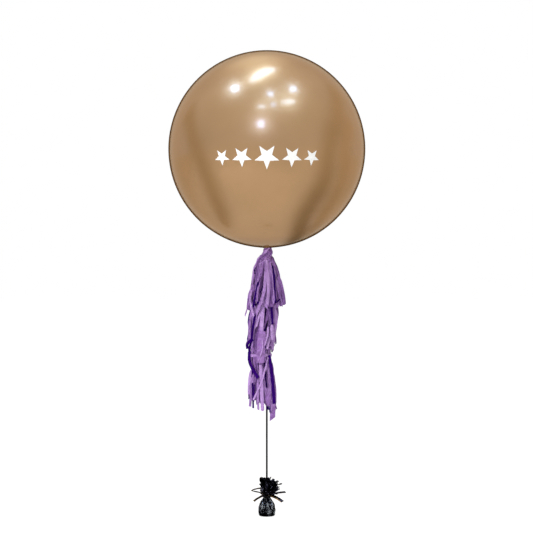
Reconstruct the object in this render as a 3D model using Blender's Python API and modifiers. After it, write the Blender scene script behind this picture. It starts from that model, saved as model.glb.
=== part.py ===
"""A round party balloon on a ribbon, with three tissue tassels and a foil-wrapped weight.

Metres, +Z up. The origin is the middle of the weight's underside, and -Y is the front.
"""

import math

import bmesh
import bpy
from mathutils import Matrix, Vector

# Balloon
BALLOON_RADIUS = 0.305
SHOULDER_RADIUS = 0.032
NECK_RADIUS = 0.006
KNOT_RADIUS = 0.0095
LIP_RADIUS = 0.0085
NECK_LENGTH = 0.0204

# Row of cut film stars on the front
STAR_SIZES = (0.025, 0.031, 0.038, 0.031, 0.025)
STAR_SPACE = 0.009
STAR_HOLLOW = 0.42
STAR_DROP = 0.044
FILM_THICKNESS = 0.0004

# Ribbon
RIBBON_WIDTH = 0.0048
RIBBON_LENGTH = 0.748
RIBBON_STEP = 3.0

# Tassels, from the upper one to the lower one
TASSEL_LENGTHS = (0.179, 0.180, 0.208)
TASSEL_RADII = (0.056, 0.0466, 0.0435)
TASSEL_PITCHES = (0.128, 0.147)
TASSEL_TUCK = 0.003
TISSUE_WALL = 0.003
TISSUE_GAP = 0.0015
HEAD_ROOM = 0.007
STRIP_WIDTH = 0.010
STRIP_THICKNESS = 0.0008
BAND_HEIGHT = 0.009
BAND_DEPTH = 0.056

# Foil weight
SACK_HEIGHT = 0.058
SACK_RADIUS = 0.0262
FOOT_RADIUS = 0.024
FOOT_SIDES = 12
FOLD_DEPTH = 0.0014
GATHER_RADIUS = 0.0115
TIE_HEIGHT = 0.0045
TIE_THICKNESS = 0.0024
FRILL_HEIGHT = 0.050
FRILL_RADIUS = 0.025
FOIL_THICKNESS = 0.0012
BLADE_ROLL = math.radians(60)
BLADE_RISE = 0.004

# Clearances
GAP = 0.0003
RIBBON_CLEARANCE = 0.0009

# Heights that follow from the sizes above
RIBBON_BOTTOM = SACK_HEIGHT + TIE_HEIGHT
RIBBON_TOP = RIBBON_BOTTOM + RIBBON_LENGTH
BALLOON_BOTTOM = RIBBON_TOP + GAP + NECK_LENGTH
BALLOON_CENTRE = BALLOON_BOTTOM + BALLOON_RADIUS
RIBBON_HOLE = RIBBON_WIDTH / 2 + RIBBON_CLEARANCE

TASSEL_NAMES = ("tassel_upper", "tassel_middle", "tassel_lower")
TASSEL_TOPS = (
    BALLOON_BOTTOM - TASSEL_TUCK,
    BALLOON_BOTTOM - TASSEL_TUCK - TASSEL_PITCHES[0],
    BALLOON_BOTTOM - TASSEL_TUCK - TASSEL_PITCHES[0] - TASSEL_PITCHES[1],
)

# Each tassel's outline: share of its length below its top, and share of its largest radius
TASSEL_OUTLINES = (
    ((0.00, 0.23), (0.05, 0.27), (0.10, 0.25), (0.16, 0.42), (0.24, 0.52), (0.33, 0.66),
     (0.50, 0.78), (0.66, 0.84), (0.80, 0.94), (0.92, 1.00), (1.00, 1.00)),
    ((0.00, 0.17), (0.04, 0.20), (0.10, 0.50), (0.18, 0.78), (0.28, 0.88), (0.40, 1.00),
     (0.55, 1.00), (0.68, 0.93), (0.80, 0.92), (0.90, 0.94), (1.00, 0.94)),
    ((0.00, 0.17), (0.03, 0.21), (0.08, 0.42), (0.14, 0.60), (0.21, 0.73), (0.33, 0.78),
     (0.49, 0.75), (0.61, 0.85), (0.73, 0.96), (0.86, 1.00), (1.00, 1.00)),
)

# Each tassel's sideways sway: share of its length below its top, and share of its largest radius
SWAYS = (
    ((0.00, 0.00), (0.16, -0.06), (1.00, -0.06)),
    ((0.00, 0.00), (0.18, -0.10), (0.40, -0.19), (0.68, -0.30), (1.00, -0.43)),
    ((0.00, 0.00), (0.08, -0.18), (0.21, -0.46), (0.33, -0.48), (0.49, -0.34), (1.00, -0.35)),
)

# How far each tassel's strips end above or below its length, as shares of it: lean to the right, and unevenness
RAGGED = ((-0.04, 0.06), (0.02, 0.07), (0.12, 0.07))

STRIPS_ROUND = 12
POINTS_PER_STRIP = 3
FLUTE_SHARE = 0.10
NOTCH_SHARE = 0.09
MOUTH_SHARE = 0.72
HOLLOW_STEPS = 5
HEAD_TWIST = 4.0

# Dark strips: name, tassel, bearing at the top and the end in degrees, where they start and end as shares,
# and how far they bow out
DARK_STRIPS = (
    ("dark_strip_upper_right", "tassel_upper", -58, -48, 0.24, 0.84, 0.0),
    ("dark_strip_upper_left", "tassel_upper", -108, -128, 0.62, 0.98, 0.0),
    ("dark_strip_middle_left", "tassel_middle", -125, -132, 0.56, 0.86, 0.0),
    ("dark_strip_middle_right", "tassel_middle", -58, -54, 0.48, 0.78, 0.0),
    ("dark_strip_lower_right", "tassel_lower", -38, -42, 0.33, 0.96, 0.0),
    ("dark_strip_lower_left", "tassel_lower", -165, -112, 0.32, 0.58, 0.004),
)

# Foil frill: bearing in degrees, reach, height of the tip above the neck, width, and width of the tip
PETALS = (
    (-115, 0.024, 0.055, 0.027, 0.026),
    (-66, 0.020, 0.057, 0.012, 0.004),
    (-46, 0.034, 0.050, 0.016, 0.004),
    (-30, 0.044, 0.046, 0.016, 0.004),
    (-12, 0.049, 0.038, 0.015, 0.003),
    (-22, 0.045, 0.028, 0.014, 0.003),
    (4, 0.042, 0.019, 0.013, 0.003),
    (34, 0.044, 0.042, 0.016, 0.004),
    (68, 0.034, 0.052, 0.017, 0.005),
    (98, 0.034, 0.038, 0.015, 0.004),
    (128, 0.030, 0.052, 0.018, 0.006),
    (160, 0.032, 0.046, 0.016, 0.004),
    (-165, 0.034, 0.034, 0.013, 0.003),
    (-90, 0.032, 0.024, 0.013, 0.004),
    (-74, 0.034, 0.038, 0.014, 0.003),
    (80, 0.036, 0.020, 0.013, 0.003),
)

# Loose foil strips that stand out of the neck: bearing, reach, height of the tip above the neck, and width
STREAMERS = (
    (-172, 0.049, 0.020, 0.0045),
    (4, 0.060, 0.010, 0.0040),
    (-154, 0.046, -0.015, 0.0048),
    (-16, 0.052, -0.018, 0.0052),
    (118, 0.046, -0.012, 0.0045),
    (62, 0.050, 0.006, 0.0040),
)

# Colours and gloss: red, green, blue, roughness, metallic
FINISHES = {
    "balloon_gold": (0.43, 0.26, 0.13, 0.22, 0.85),
    "film_white": (0.90, 0.90, 0.90, 0.45, 0.0),
    "tissue_lilac": (0.40, 0.19, 0.52, 0.85, 0.0),
    "tissue_indigo": (0.035, 0.003, 0.16, 0.85, 0.0),
    "ribbon_black": (0.004, 0.004, 0.004, 0.30, 0.0),
    "foil_black": (0.010, 0.012, 0.018, 0.18, 0.7),
}


def clear_scene():
    for obj in list(bpy.data.objects):
        bpy.data.objects.remove(obj)


def make_materials():
    made = {}
    for name, (red, green, blue, roughness, metallic) in FINISHES.items():
        material = bpy.data.materials.new(name)
        material.use_nodes = True
        shader = material.node_tree.nodes["Principled BSDF"]
        shader.inputs["Base Color"].default_value = (red, green, blue, 1.0)
        shader.inputs["Roughness"].default_value = roughness
        shader.inputs["Metallic"].default_value = metallic
        made[name] = material
    return made


def add_object(name, data, finish, collection):
    obj = bpy.data.objects.new(name, data)
    if finish:
        data.materials.append(MATERIALS[finish])
    collection.objects.link(obj)
    return obj


def along(table, share):
    """The value of a table of (share, value) pairs, in straight steps between its rows."""
    for (low, first), (high, second) in zip(table, table[1:]):
        if share <= high:
            return first + (second - first) * max(0.0, share - low) / (high - low)
    return table[-1][1]


def uneven(number):
    """A fixed value between -1 and 1 that looks unrelated to its neighbours."""
    value = math.sin(number * 12.9898) * 43758.5453
    return 2.0 * (value - math.floor(value)) - 1.0


def mesh_of_rings(name, rings, closed_through):
    """A surface through rings of points. It closes on itself, or ends in flat caps."""
    work = bmesh.new()
    loops = [[work.verts.new(point) for point in ring] for ring in rings]
    pairs = list(zip(loops, loops[1:]))
    if closed_through:
        pairs.append((loops[-1], loops[0]))
    for upper, lower in pairs:
        count = len(upper)
        for i in range(count):
            j = (i + 1) % count
            work.faces.new((upper[i], upper[j], lower[j], lower[i]))
    if not closed_through:
        work.faces.new(loops[0])
        work.faces.new(loops[-1])
    bmesh.ops.recalc_face_normals(work, faces=work.faces)
    mesh = bpy.data.meshes.new(name)
    work.to_mesh(mesh)
    work.free()
    return mesh


def mesh_of_grid(name, rows):
    """An open sheet through rows of points."""
    work = bmesh.new()
    loops = [[work.verts.new(point) for point in row] for row in rows]
    for upper, lower in zip(loops, loops[1:]):
        for i in range(len(upper) - 1):
            work.faces.new((upper[i], lower[i], lower[i + 1], upper[i + 1]))
    mesh = bpy.data.meshes.new(name)
    work.to_mesh(mesh)
    work.free()
    return mesh


def smooth(obj, degrees=40):
    obj.data.shade_smooth()
    obj.data.set_sharp_from_angle(angle=math.radians(degrees))


def thicken(obj, thickness, offset):
    wall = obj.modifiers.new("Wall", "SOLIDIFY")
    wall.thickness = thickness
    wall.offset = offset


# Balloon

def balloon_profile():
    """From the top pole down the outer side to the lip of the tied neck."""
    blend = math.asin(SHOULDER_RADIUS / BALLOON_RADIUS)
    steps = 19
    points = [(0.0, BALLOON_CENTRE + BALLOON_RADIUS)]
    for i in range(1, steps + 1):
        angle = (math.pi - blend) * i / steps
        points.append((BALLOON_RADIUS * math.sin(angle), BALLOON_CENTRE + BALLOON_RADIUS * math.cos(angle)))
    points.append(((SHOULDER_RADIUS + NECK_RADIUS) / 3, BALLOON_BOTTOM))
    points.append((NECK_RADIUS * 1.2, BALLOON_BOTTOM - NECK_LENGTH * 0.16))
    points.append((NECK_RADIUS, BALLOON_BOTTOM - NECK_LENGTH * 0.36))
    points.append((KNOT_RADIUS, BALLOON_BOTTOM - NECK_LENGTH * 0.50))
    points.append((KNOT_RADIUS, BALLOON_BOTTOM - NECK_LENGTH * 0.66))
    points.append((NECK_RADIUS, BALLOON_BOTTOM - NECK_LENGTH * 0.80))
    points.append((LIP_RADIUS, BALLOON_BOTTOM - NECK_LENGTH))
    points.append((0.0, BALLOON_BOTTOM - NECK_LENGTH))
    return points


def make_balloon(collection):
    mesh = bpy.data.meshes.new("balloon")
    points = [(radius, 0.0, height) for radius, height in balloon_profile()]
    mesh.from_pydata(points, [(i, i + 1) for i in range(len(points) - 1)], [])
    balloon = add_object("balloon", mesh, "balloon_gold", collection)
    turn = balloon.modifiers.new("Turn", "SCREW")
    turn.steps = 42
    turn.render_steps = 42
    turn.use_merge_vertices = True
    turn.merge_threshold = 0.0001
    turn.use_smooth_shade = True
    return balloon


def star_bearings():
    """The angle of each star round the balloon, in radians, for a row centred on the front."""
    widths = [2 * size * math.sin(math.radians(72)) for size in STAR_SIZES]
    total = sum(widths) + STAR_SPACE * (len(widths) - 1)
    start = -total / 2
    bearings = []
    for width in widths:
        bearings.append((start + width / 2) / BALLOON_RADIUS)
        start += width + STAR_SPACE
    return bearings


def make_star(number, size, bearing, collection):
    """A five-pointed star of film that follows the balloon."""
    tilt = -math.asin(STAR_DROP / BALLOON_RADIUS)
    outward = Vector((math.sin(bearing) * math.cos(tilt), -math.cos(bearing) * math.cos(tilt), math.sin(tilt)))
    across = Vector((math.cos(bearing), math.sin(bearing), 0.0))
    upward = outward.cross(across) * -1.0
    centre = Vector((0.0, 0.0, BALLOON_CENTRE))
    seat = BALLOON_RADIUS + GAP
    corners = []
    for i in range(10):
        reach = size * (1.0 if i % 2 == 0 else STAR_HOLLOW)
        angle = math.radians(90 + 36 * i)
        corners.append((reach * math.cos(angle), reach * math.sin(angle)))
    outline = []
    for (x0, y0), (x1, y1) in zip(corners, corners[1:] + corners[:1]):
        outline.append((x0, y0))
        outline.append(((x0 + x1) / 2, (y0 + y1) / 2))
    work = bmesh.new()

    def on_balloon(x, y):
        return work.verts.new(centre + (outward * seat + across * x + upward * y).normalized() * seat)

    rings = [[on_balloon(x * share, y * share) for x, y in outline] for share in (0.5, 1.0)]
    middle = on_balloon(0.0, 0.0)
    count = len(outline)
    for i in range(count):
        j = (i + 1) % count
        work.faces.new((middle, rings[0][i], rings[0][j]))
        for inner, outer in zip(rings, rings[1:]):
            work.faces.new((inner[i], outer[i], outer[j], inner[j]))
    bmesh.ops.recalc_face_normals(work, faces=work.faces)
    if sum((face.normal.dot(outward) for face in work.faces)) < 0:
        bmesh.ops.reverse_faces(work, faces=work.faces)
    mesh = bpy.data.meshes.new(f"film_star_{number}")
    work.to_mesh(mesh)
    work.free()
    star = add_object(f"film_star_{number}", mesh, "film_white", collection)
    thicken(star, FILM_THICKNESS, 1.0)
    return star


# Tassels

def sway(tassel, height):
    """How far a tassel's middle line lies from the ribbon, along X."""
    share = (TASSEL_TOPS[tassel] - height) / TASSEL_LENGTHS[tassel]
    return along(SWAYS[tassel], share) * TASSEL_RADII[tassel]


def tassel_radius(tassel, height):
    """The outline's radius at a height, with no flutes."""
    share = (TASSEL_TOPS[tassel] - height) / TASSEL_LENGTHS[tassel]
    return along(TASSEL_OUTLINES[tassel], share) * TASSEL_RADII[tassel]


def ring(radius, middle, height, count, flute=0.0, turn=0.0):
    """A level ring of points. A flute pulls in the points between two strips."""
    points = []
    for i in range(count):
        angle = turn + 2 * math.pi * i / count
        reach = radius - (flute if i % POINTS_PER_STRIP == 0 else 0.0)
        points.append(Vector((middle + reach * math.cos(angle), reach * math.sin(angle), height)))
    return points


def spoke(middle, reach, angle, height):
    return Vector((middle + reach * math.cos(angle), reach * math.sin(angle), height))


def strip_ends(tassel):
    """The angle and the lowest height of every column of a tassel: its strips, and the notches between them."""
    count = STRIPS_ROUND * POINTS_PER_STRIP
    lean, amount = RAGGED[tassel]
    columns = []
    for i in range(count):
        strip = i // POINTS_PER_STRIP
        share = 1.0 + lean * math.cos(2 * math.pi * (strip + 0.5) / STRIPS_ROUND)
        share += amount * uneven(strip + 7 * tassel)
        if i % POINTS_PER_STRIP == 0:
            share = min(share, 1.0) - NOTCH_SHARE
        columns.append((2 * math.pi * i / count, TASSEL_TOPS[tassel] - TASSEL_LENGTHS[tassel] * share))
    return columns


def tassel_inside(tassel, columns):
    """The rings of the hollow, from the mouth up to the top of the tassel."""
    count = len(columns)
    rings = []
    after = tassel + 1
    if after < len(TASSEL_NAMES):
        ceiling = TASSEL_TOPS[after]
        for step in range(HOLLOW_STEPS + 1):
            level = []
            for angle, end in columns:
                height = end + (ceiling - end) * step / HOLLOW_STEPS
                reach = tassel_radius(after, height - HEAD_ROOM) + TISSUE_GAP
                level.append(spoke(sway(after, height), reach, angle, height))
            rings.append(level)
        rings.append(ring(RIBBON_HOLE, 0.0, ceiling + HEAD_ROOM, count))
    else:
        inside = TASSEL_RADII[tassel] * MOUTH_SHARE
        rings.append([spoke(sway(tassel, end), inside, angle, end) for angle, end in columns])
        rings.append(ring(RIBBON_HOLE, 0.0, max(end for _, end in columns) + TISSUE_WALL, count))
    top = TASSEL_TOPS[tassel]
    if tassel == 0:
        rings.append(ring(RIBBON_HOLE, 0.0, RIBBON_TOP - TISSUE_GAP, count))
        rings.append(ring(KNOT_RADIUS + TISSUE_GAP, 0.0, RIBBON_TOP - TISSUE_GAP / 2, count))
        rings.append(ring(KNOT_RADIUS + TISSUE_GAP, 0.0, top, count))
    else:
        rings.append(ring(RIBBON_HOLE, 0.0, top, count))
    return rings


def make_tassel(tassel, collection):
    """A fluted skirt with ragged strip ends, its twisted head, and the hollow through it."""
    top = TASSEL_TOPS[tassel]
    columns = strip_ends(tassel)
    inside = tassel_inside(tassel, columns)
    outside = []
    for share, _ in TASSEL_OUTLINES[tassel][:-2]:
        height = top - share * TASSEL_LENGTHS[tassel]
        radius = tassel_radius(tassel, height)
        twist = HEAD_TWIST * max(0.0, 0.25 - share)
        outside.append(ring(radius, sway(tassel, height), height, len(columns), radius * FLUTE_SHARE, twist))
    ends = []
    for i, (angle, end) in enumerate(columns):
        middle = sway(tassel, end)
        needed = 0.0
        if tassel + 1 < len(TASSEL_NAMES):
            needed = tassel_radius(tassel + 1, end - HEAD_ROOM) + abs(sway(tassel + 1, end) - middle) + TISSUE_GAP
        reach = max(tassel_radius(tassel, end), needed + TISSUE_WALL)
        if i % POINTS_PER_STRIP == 0:
            reach -= TISSUE_GAP
        ends.append(spoke(middle, reach, angle, end))
    mesh = mesh_of_rings(TASSEL_NAMES[tassel], outside + [ends] + inside, True)
    obj = add_object(TASSEL_NAMES[tassel], mesh, "tissue_lilac", collection)
    smooth(obj, 30)
    return obj


def make_strip(name, carrier, start_bearing, end_bearing, start, end, bow, collection):
    """A dark strip of tissue that lies down the outside of a tassel."""
    tassel = TASSEL_NAMES.index(carrier)
    rows = []
    steps = 7
    for i in range(steps + 1):
        share = start + (end - start) * i / steps
        height = TASSEL_TOPS[tassel] - share * TASSEL_LENGTHS[tassel]
        bearing = math.radians(start_bearing + (end_bearing - start_bearing) * i / steps)
        bulge = bow * math.sin(math.pi * i / steps)
        radius = tassel_radius(tassel, height) + STRIP_THICKNESS + TISSUE_GAP + bulge
        half = STRIP_WIDTH / 2 / radius
        row = []
        for j in (-1, 0, 1):
            angle = bearing + half * j
            row.append((sway(tassel, height) + radius * math.cos(angle), radius * math.sin(angle), height))
        rows.append(row)
    strip = add_object(name, mesh_of_grid(name, rows), "tissue_indigo", collection)
    thicken(strip, STRIP_THICKNESS, 0.0)
    return strip


def make_band(collection):
    """The tissue band tied round the shoulder of the lower tassel."""
    tassel = len(TASSEL_NAMES) - 1
    upper = TASSEL_TOPS[tassel] - BAND_DEPTH + BAND_HEIGHT / 2
    lower = upper - BAND_HEIGHT
    radius = max(tassel_radius(tassel, upper), tassel_radius(tassel, lower)) + TISSUE_GAP
    count = STRIPS_ROUND * 2
    rings = [
        ring(radius + STRIP_THICKNESS, sway(tassel, upper), upper, count),
        ring(radius + STRIP_THICKNESS, sway(tassel, lower), lower, count),
        ring(radius, sway(tassel, lower), lower, count),
        ring(radius, sway(tassel, upper), upper, count),
    ]
    return add_object("tissue_band", mesh_of_rings("tissue_band", rings, True), "tissue_lilac", collection)


# Ribbon

def make_ribbon(collection):
    curve = bpy.data.curves.new("ribbon", "CURVE")
    curve.dimensions = "3D"
    curve.bevel_depth = RIBBON_WIDTH / 2
    curve.bevel_resolution = 2
    curve.use_fill_caps = True
    count = math.ceil(RIBBON_LENGTH / (RIBBON_STEP * RIBBON_WIDTH)) + 1
    spline = curve.splines.new("POLY")
    spline.points.add(count - 1)
    for i, point in enumerate(spline.points):
        height = RIBBON_BOTTOM + (RIBBON_TOP - RIBBON_BOTTOM) * i / (count - 1)
        point.co = (0.0, 0.0, height, 1.0)
    return add_object("ribbon", curve, "ribbon_black", collection)


# Foil weight

def sack_radius(share):
    """The bulge of the sack, from its foot at 0 to its neck at 1."""
    outline = ((0.00, FOOT_RADIUS), (0.05, (FOOT_RADIUS + SACK_RADIUS) / 2), (0.13, SACK_RADIUS * 0.98),
               (0.28, SACK_RADIUS), (0.45, SACK_RADIUS * 0.99), (0.60, SACK_RADIUS * 0.92), (0.74, SACK_RADIUS * 0.80),
               (0.86, SACK_RADIUS * 0.64), (0.95, GATHER_RADIUS * 1.12), (1.00, GATHER_RADIUS))
    return along(outline, share)


def crumpled_ring(radius, middle, height, count, folds, depth):
    points = []
    for i in range(count):
        angle = 2 * math.pi * i / count
        wave = math.cos(folds * angle) + 0.5 * uneven(i)
        reach = radius - depth * (1.0 - wave) / 2
        points.append(Vector((middle + reach * math.cos(angle), reach * math.sin(angle), height)))
    return points


def foot_ring(count):
    """The flat foot's edge. Only its corners stand out, so that it rests on those alone."""
    points = []
    for i in range(count):
        reach = FOOT_RADIUS
        if i * FOOT_SIDES % count:
            reach = FOOT_RADIUS * math.cos(math.pi / FOOT_SIDES) - GAP
        angle = 2 * math.pi * i / count
        points.append(Vector((reach * math.cos(angle), reach * math.sin(angle), 0.0)))
    return points


def make_sack_body(collection):
    """The wrapped body, its gathered neck and the crushed heart of the frill, in one."""
    count = 2 * FOOT_SIDES
    rings = [foot_ring(count)]
    for share in (0.05, 0.13, 0.28, 0.45, 0.60, 0.74, 0.86, 0.95, 1.0):
        depth = FOLD_DEPTH * min(1.0, share * 4)
        rings.append(crumpled_ring(sack_radius(share), 0.0, SACK_HEIGHT * share, count, 9, depth))
    rings.append(crumpled_ring(GATHER_RADIUS, 0.0, SACK_HEIGHT + TIE_HEIGHT, count, 9, FOLD_DEPTH))
    frill_base = SACK_HEIGHT + TIE_HEIGHT
    for share, radius, shift in ((0.16, 0.66, 0.10), (0.40, 0.92, 0.26), (0.62, 1.00, 0.32), (0.80, 0.88, 0.34),
                                 (0.90, 0.50, 0.30)):
        height = frill_base + share * FRILL_HEIGHT
        rings.append(crumpled_ring(FRILL_RADIUS * radius, FRILL_RADIUS * shift, height, count, 6, FOLD_DEPTH * 2))
    return add_object("foil_weight", mesh_of_rings("foil_weight", rings, False), "foil_black", collection)


def blade_rows(bearing, reach, rise, width, tip_width, base):
    """A foil blade that leaves the neck and bends to its tip. One that hangs goes outwards first."""
    angle = math.radians(bearing)
    outward = Vector((math.cos(angle), math.sin(angle), 0.0))
    across = Vector((-math.sin(angle), math.cos(angle), 0.0))
    root = 0.2 * GATHER_RADIUS
    roll = Matrix.Rotation(BLADE_ROLL * math.cos(angle) ** 3, 3, outward)
    rows = []
    for share in (0.0, 0.35, 0.7, 1.0):
        forward = root + (reach - root) * share ** (1.3 if rise > 0 else 1.0)
        upward = rise * (1.5 * share - 0.5 * share * share if rise > 0 else share ** 2)
        half = (width + (tip_width - width) * share ** 2) * min(1.0, 0.4 + 1.6 * share) / 2
        middle = outward * forward + Vector((0.0, 0.0, base + upward))
        rows.append([middle - roll @ across * half, middle + roll @ across * half])
    return rows


def make_blade(name, rows, cutters):
    blade = add_object(name, mesh_of_grid(name, rows), "", cutters)
    thicken(blade, FOIL_THICKNESS, 0.0)
    blade.hide_render = True
    blade.display_type = "WIRE"
    return blade


def make_weight(collection, cutters):
    weight = make_sack_body(collection)
    base = SACK_HEIGHT + TIE_HEIGHT + BLADE_RISE
    for i, (bearing, reach, rise, width, tip_width) in enumerate(PETALS):
        rows = blade_rows(bearing, reach, rise, width, tip_width, base)
        join(weight, make_blade(f"petal_{i}", rows, cutters), "UNION")
    for i, (bearing, reach, rise, width) in enumerate(STREAMERS):
        rows = blade_rows(bearing, reach, rise, width, width * 0.9, base)
        join(weight, make_blade(f"streamer_{i}", rows, cutters), "UNION")
    bpy.ops.mesh.primitive_cylinder_add(
        vertices=12,
        radius=RIBBON_HOLE,
        depth=FRILL_HEIGHT * 2,
        location=(0.0, 0.0, RIBBON_BOTTOM - GAP + FRILL_HEIGHT),
    )
    hole = bpy.context.object
    hole.name = "ribbon_hole"
    hole.hide_render = True
    hole.display_type = "WIRE"
    for owner in list(hole.users_collection):
        owner.objects.unlink(hole)
    cutters.objects.link(hole)
    join(weight, hole, "DIFFERENCE")
    return weight


def join(obj, other, operation):
    step = obj.modifiers.new(other.name, "BOOLEAN")
    step.operation = operation
    step.object = other


def make_neck_tie(collection):
    """The ribbon's turns round the gathered neck."""
    inner = GATHER_RADIUS + GAP
    outer = inner + TIE_THICKNESS
    low = SACK_HEIGHT
    high = SACK_HEIGHT + TIE_HEIGHT - GAP
    middle = (low + high) / 2
    rings = [ring(outer - TIE_THICKNESS * 0.3, 0.0, high, 24), ring(outer, 0.0, middle, 24)]
    rings += [ring(outer - TIE_THICKNESS * 0.3, 0.0, low, 24), ring(inner, 0.0, low, 24), ring(inner, 0.0, high, 24)]
    tie = add_object("neck_tie", mesh_of_rings("neck_tie", rings, True), "ribbon_black", collection)
    smooth(tie)
    return tie


clear_scene()
MATERIALS = make_materials()
PARTS = bpy.data.collections.new("balloon_with_tassels")
CUTTERS = bpy.data.collections.new("cutters")
bpy.context.scene.collection.children.link(PARTS)
bpy.context.scene.collection.children.link(CUTTERS)
CUTTERS.hide_render = True

make_balloon(PARTS)
for order, (star_size, star_bearing) in enumerate(zip(STAR_SIZES, star_bearings()), start=1):
    make_star(order, star_size, star_bearing, PARTS)
for order in range(len(TASSEL_NAMES)):
    make_tassel(order, PARTS)
for dark_strip in DARK_STRIPS:
    make_strip(*dark_strip, PARTS)
make_band(PARTS)
make_ribbon(PARTS)
make_weight(PARTS, CUTTERS)
make_neck_tie(PARTS)
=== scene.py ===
"""A round party balloon on a ribbon, with three tissue tassels and a foil-wrapped weight."""
import math
import random

import bmesh
import bpy
from mathutils import Matrix, Vector, noise


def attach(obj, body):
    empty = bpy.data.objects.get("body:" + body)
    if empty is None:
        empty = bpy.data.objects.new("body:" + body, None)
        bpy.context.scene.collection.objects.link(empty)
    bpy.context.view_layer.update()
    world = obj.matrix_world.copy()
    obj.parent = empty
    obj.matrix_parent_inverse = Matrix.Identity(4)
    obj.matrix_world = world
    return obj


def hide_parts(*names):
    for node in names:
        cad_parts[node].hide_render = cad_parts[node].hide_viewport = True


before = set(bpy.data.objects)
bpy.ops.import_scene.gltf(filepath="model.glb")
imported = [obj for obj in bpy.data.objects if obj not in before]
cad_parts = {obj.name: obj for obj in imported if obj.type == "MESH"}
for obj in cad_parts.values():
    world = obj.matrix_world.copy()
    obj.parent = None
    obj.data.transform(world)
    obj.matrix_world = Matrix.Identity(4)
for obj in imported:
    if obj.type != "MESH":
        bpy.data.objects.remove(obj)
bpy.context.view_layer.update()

# Sizes that the part gives, in metres
BALLOON_RADIUS = 0.305
SHOULDER_RADIUS = 0.032
NECK_RADIUS = 0.006
KNOT_RADIUS = 0.0095
LIP_RADIUS = 0.0085
NECK_LENGTH = 0.0204
RIBBON_WIDTH = 0.0048
RIBBON_SHOWN_WIDTH = RIBBON_WIDTH * 1.18
RIBBON_LENGTH = 0.748
RIBBON_BOTTOM = 0.0625
BALLOON_BOTTOM = 0.8312
BALLOON_CENTRE = BALLOON_BOTTOM + BALLOON_RADIUS
SACK_HEIGHT = 0.058
SACK_RADIUS = 0.0262
GATHER_RADIUS = 0.0115
FRILL_BASE = 0.0665

# How thick the visible films and papers are
TISSUE_THICKNESS = 0.00022
DOUBLED_THICKNESS = 0.0003
FOIL_THICKNESS = 0.0004

# The three tassels, from the upper one to the lower one
TASSEL_TOPS = (0.8282, 0.7002, 0.5532)
TASSEL_LENGTHS = (0.179, 0.180, 0.208)
TASSEL_RADII = (0.056, 0.0466, 0.0435)
TASSEL_OUTLINES = (
    ((0.00, 0.23), (0.05, 0.27), (0.10, 0.25), (0.16, 0.42), (0.24, 0.52), (0.33, 0.66),
     (0.50, 0.78), (0.66, 0.84), (0.80, 0.94), (0.92, 1.00), (1.00, 1.00)),
    ((0.00, 0.17), (0.04, 0.20), (0.10, 0.50), (0.18, 0.78), (0.28, 0.88), (0.40, 1.00),
     (0.55, 1.00), (0.68, 0.93), (0.80, 0.92), (0.90, 0.94), (1.00, 0.94)),
    ((0.00, 0.17), (0.03, 0.21), (0.08, 0.42), (0.14, 0.60), (0.21, 0.73), (0.33, 0.78),
     (0.49, 0.75), (0.61, 0.85), (0.73, 0.96), (0.86, 1.00), (1.00, 1.00)),
)
TASSEL_SWAYS = (
    ((0.00, 0.00), (0.16, -0.06), (1.00, -0.06)),
    ((0.00, 0.00), (0.18, -0.10), (0.40, -0.19), (0.68, -0.30), (1.00, -0.43)),
    ((0.00, 0.00), (0.08, -0.18), (0.21, -0.46), (0.33, -0.48), (0.49, -0.34), (1.00, -0.35)),
)


# Small helpers

def deselect_all():
    bpy.ops.object.select_all(action="DESELECT")


def work_on(piece):
    deselect_all()
    piece.select_set(True)
    bpy.context.view_layer.objects.active = piece


def settle(piece, name):
    """Names a piece and puts its place into its mesh."""
    work_on(piece)
    bpy.ops.object.transform_apply(location=True, rotation=True, scale=True)
    piece.name = name
    piece.data.name = name
    return piece


def face_outwards(piece):
    work_on(piece)
    bpy.ops.object.mode_set(mode="EDIT")
    bpy.ops.mesh.select_all(action="SELECT")
    bpy.ops.mesh.remove_doubles(threshold=0.00001)
    bpy.ops.mesh.normals_make_consistent(inside=False)
    bpy.ops.object.mode_set(mode="OBJECT")


def extrude_rings(rings, radius, height):
    """Draws the selected ring on through others, in edit mode. Each ring is a radius and a height."""
    for next_radius, next_height in rings:
        bpy.ops.mesh.extrude_region_move(TRANSFORM_OT_translate={"value": (0.0, 0.0, next_height - height)})
        share = next_radius / radius
        bpy.ops.transform.resize(value=(share, share, 1.0), center_override=(0.0, 0.0, next_height))
        radius, height = next_radius, next_height


def thicken(piece, thickness):
    work_on(piece)
    wall = piece.modifiers.new("Wall", "SOLIDIFY")
    wall.thickness = thickness
    wall.offset = 0.0
    bpy.ops.object.modifier_apply(modifier=wall.name)


def join_pieces(pieces, name):
    """Makes several pieces one."""
    deselect_all()
    for piece in pieces:
        piece.select_set(True)
    bpy.context.view_layer.objects.active = pieces[0]
    if len(pieces) > 1:
        bpy.ops.object.join()
    return settle(pieces[0], name)


def copy_piece(piece):
    """A copy with a mesh of its own."""
    fresh = piece.copy()
    fresh.data = piece.data.copy()
    bpy.context.scene.collection.objects.link(fresh)
    return fresh


def smooth(piece, degrees):
    work_on(piece)
    bpy.ops.object.shade_smooth_by_angle(angle=math.radians(degrees))


def dress(piece, material, slot, *nodes):
    """Gives a piece its finish, its place on the part, and the nodes that it stands for."""
    piece.data.materials.clear()
    piece.data.materials.append(material)
    piece.visible_glossy = slot in ("balloon_gold", "foil_black")
    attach(piece, "root")
    if nodes:
        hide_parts(*nodes)
    return piece


def along(table, share):
    """A value read off a table of (share, value), with straight lines between."""
    if share <= table[0][0]:
        return table[0][1]
    for (a, low), (b, high) in zip(table, table[1:]):
        if share <= b:
            return low + (high - low) * (share - a) / (b - a)
    return table[-1][1]


def ease(share):
    share = min(1.0, max(0.0, share))
    return share * share * (3.0 - 2.0 * share)


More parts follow.
